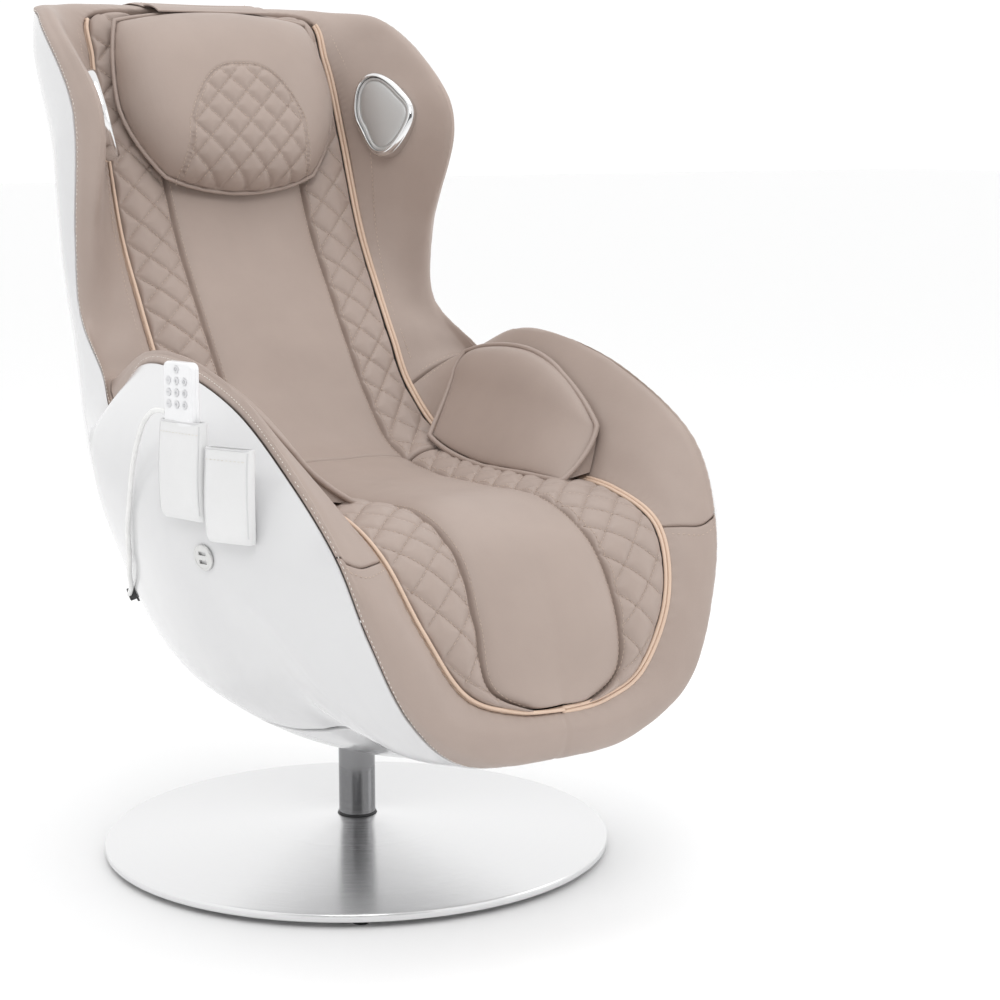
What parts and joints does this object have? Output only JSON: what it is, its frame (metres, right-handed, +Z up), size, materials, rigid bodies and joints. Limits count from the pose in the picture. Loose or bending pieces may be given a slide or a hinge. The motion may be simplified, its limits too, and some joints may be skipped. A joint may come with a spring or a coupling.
{
  "type": "massage chair",
  "caption": "Egg-shaped swivel lounge massage chair with leather seat, winged back, padded arms, head pillow, side pockets with handset, on a round steel pedestal.",
  "frame": {"origin": "on the floor, on the swivel axis of the pedestal", "axes": "+Z up, -Y is the direction the chair faces, +X is the sitter's left"},
  "size_m": [0.7529, 0.9417, 1.1056],
  "materials": {
    "brushed_base": "brushed",
    "chrome": "mirror",
    "cast": "rough",
    "foot_rubber": "matte",
    "washer": "matte",
    "frame_steel": "satin",
    "bolt_steel": "satin",
    "shell_white": "gloss",
    "leather_beige": "semi-matte",
    "piping_tan": "semi-matte",
    "silver_trim": "metallic",
    "grille_satin": "satin",
    "leather_white": "semi-matte",
    "handset_white": "satin",
    "key_grey": "matte",
    "black_plastic": "matte",
    "motor_grey": "satin",
    "roller_tan": "matte"
  },
  "bodies": {
    "pedestal": {"base_disc": "brushed_base", "ballast_plate": "cast", "base_feet": "foot_rubber", "base_spigot": "chrome", "thrust_washer": "washer"},
    "chair": {"post_tube": "chrome", "mount_plate": "frame_steel", "mount_bolts": "bolt_steel", "seat_frame": "frame_steel", "back_frame": "frame_steel", "bottom_cover": "shell_white", "rear_shell": "shell_white", "side_panel_right": "shell_white", "side_panel_left": "shell_white", "wing_left": "leather_beige", "wing_right": "leather_beige", "arm_left": "leather_beige", "arm_right": "leather_beige", "front_band": "leather_beige", "back_pad": "leather_beige", "seat_pad": "leather_beige", "piping": "piping_tan", "pillow_strap": "leather_beige", "speaker_bezel_left": "silver_trim", "speaker_bezel_right": "silver_trim", "speaker_grille_left": "grille_satin", "speaker_grille_right": "grille_satin", "arm_pad_left": "leather_beige", "arm_pad_right": "leather_beige", "handset_pocket": "leather_white", "phone_pocket": "leather_white", "handset_cord": "handset_white", "cord_gland": "black_plastic", "usb_port": "silver_trim", "inlet_panel": "black_plastic", "track_frame": "bolt_steel", "air_pump": "motor_grey", "control_box": "motor_grey", "power_supply": "motor_grey"},
    "pillow": {"head_pillow": "leather_beige"},
    "handset": {"handset_body": "handset_white"},
    "power_switch": {"power_rocker": "black_plastic"},
    "carriage": {"massage_carriage": "black_plastic", "carriage_motors": "motor_grey"},
    "arm_l": {"knead_arm_left": "black_plastic"},
    "arm_r": {"knead_arm_right": "black_plastic"},
    "roller_left_upper": {"roller_left_upper": "roller_tan"},
    "roller_left_lower": {"roller_left_lower": "roller_tan"},
    "roller_right_upper": {"roller_right_upper": "roller_tan"},
    "roller_right_lower": {"roller_right_lower": "roller_tan"},
    "key_power": {"key_power": "key_grey"},
    "key_auto": {"key_auto": "key_grey"},
    "key_knead": {"key_knead": "key_grey"},
    "key_tap": {"key_tap": "key_grey"},
    "key_heat": {"key_heat": "key_grey"},
    "key_air": {"key_air": "key_grey"},
    "key_music": {"key_music": "key_grey"},
    "key_up": {"key_up": "key_grey"},
    "key_timer": {"key_timer": "key_grey"},
    "key_down": {"key_down": "key_grey"}
  },
  "joints": [
    {"name": "swivel", "type": "hinge", "parent": "pedestal", "child": "chair", "pos_m": [0, 0, 0.1], "axis": [0, 0, 1], "continuous": true},
    {"name": "pillow_flip", "type": "hinge", "parent": "chair", "child": "pillow", "pos_m": [0, 0.395, 1.104], "axis": [-1, 0, 0], "range_deg": [0, 110]},
    {"name": "handset_lift", "type": "slide", "parent": "chair", "child": "handset", "axis": [0, 0, 1], "range_m": [0, 0.112]},
    {"name": "power_switch_rock", "type": "hinge", "parent": "chair", "child": "power_switch", "pos_m": [-0.017, 0.26772, 0.33229], "axis": [-1, 0, 0], "range_deg": [0, 10]},
    {"name": "carriage_travel", "type": "slide", "parent": "chair", "child": "carriage", "axis": [0, 0.4633, 0.8862], "range_m": [-0.06, 0.14]},
    {"name": "knead_left", "type": "hinge", "parent": "carriage", "child": "arm_l", "pos_m": [0, 0.30225, 0.69338], "axis": [1, 0, 0], "range_deg": [-7, 7]},
    {"name": "knead_right", "type": "hinge", "parent": "carriage", "child": "arm_r", "pos_m": [0, 0.30225, 0.69338], "axis": [1, 0, 0], "range_deg": [-7, 7]},
    {"name": "roller_left_upper_spin", "type": "hinge", "parent": "arm_l", "child": "roller_left_upper", "pos_m": [0, 0.30399, 0.73986], "axis": [1, 0, 0], "continuous": true},
    {"name": "roller_left_lower_spin", "type": "hinge", "parent": "arm_l", "child": "roller_left_lower", "pos_m": [0, 0.26507, 0.66542], "axis": [1, 0, 0], "continuous": true},
    {"name": "roller_right_upper_spin", "type": "hinge", "parent": "arm_r", "child": "roller_right_upper", "pos_m": [0, 0.30399, 0.73986], "axis": [1, 0, 0], "continuous": true},
    {"name": "roller_right_lower_spin", "type": "hinge", "parent": "arm_r", "child": "roller_right_lower", "pos_m": [0, 0.26507, 0.66542], "axis": [1, 0, 0], "continuous": true},
    {"name": "key_power_press", "type": "slide", "parent": "handset", "child": "key_power", "axis": [0.9781, 0.2079, 0], "range_m": [0, 0.0012], "stiffness_N_per_m": 200},
    {"name": "key_auto_press", "type": "slide", "parent": "handset", "child": "key_auto", "axis": [0.9781, 0.2079, 0], "range_m": [0, 0.0012], "stiffness_N_per_m": 200},
    {"name": "key_knead_press", "type": "slide", "parent": "handset", "child": "key_knead", "axis": [0.9781, 0.2079, 0], "range_m": [0, 0.0012], "stiffness_N_per_m": 200},
    {"name": "key_tap_press", "type": "slide", "parent": "handset", "child": "key_tap", "axis": [0.9781, 0.2079, 0], "range_m": [0, 0.0012], "stiffness_N_per_m": 200},
    {"name": "key_heat_press", "type": "slide", "parent": "handset", "child": "key_heat", "axis": [0.9781, 0.2079, 0], "range_m": [0, 0.0012], "stiffness_N_per_m": 200},
    {"name": "key_air_press", "type": "slide", "parent": "handset", "child": "key_air", "axis": [0.9781, 0.2079, 0], "range_m": [0, 0.0012], "stiffness_N_per_m": 200},
    {"name": "key_music_press", "type": "slide", "parent": "handset", "child": "key_music", "axis": [0.9781, 0.2079, 0], "range_m": [0, 0.0012], "stiffness_N_per_m": 200},
    {"name": "key_up_press", "type": "slide", "parent": "handset", "child": "key_up", "axis": [0.9781, 0.2079, 0], "range_m": [0, 0.0012], "stiffness_N_per_m": 200},
    {"name": "key_timer_press", "type": "slide", "parent": "handset", "child": "key_timer", "axis": [0.9781, 0.2079, 0], "range_m": [0, 0.0012], "stiffness_N_per_m": 200},
    {"name": "key_down_press", "type": "slide", "parent": "handset", "child": "key_down", "axis": [0.9781, 0.2079, 0], "range_m": [0, 0.0012], "stiffness_N_per_m": 200}
  ],
  "couplings": [
    {"joint": "knead_right", "follows": "knead_left", "ratio": -1}
  ]
}
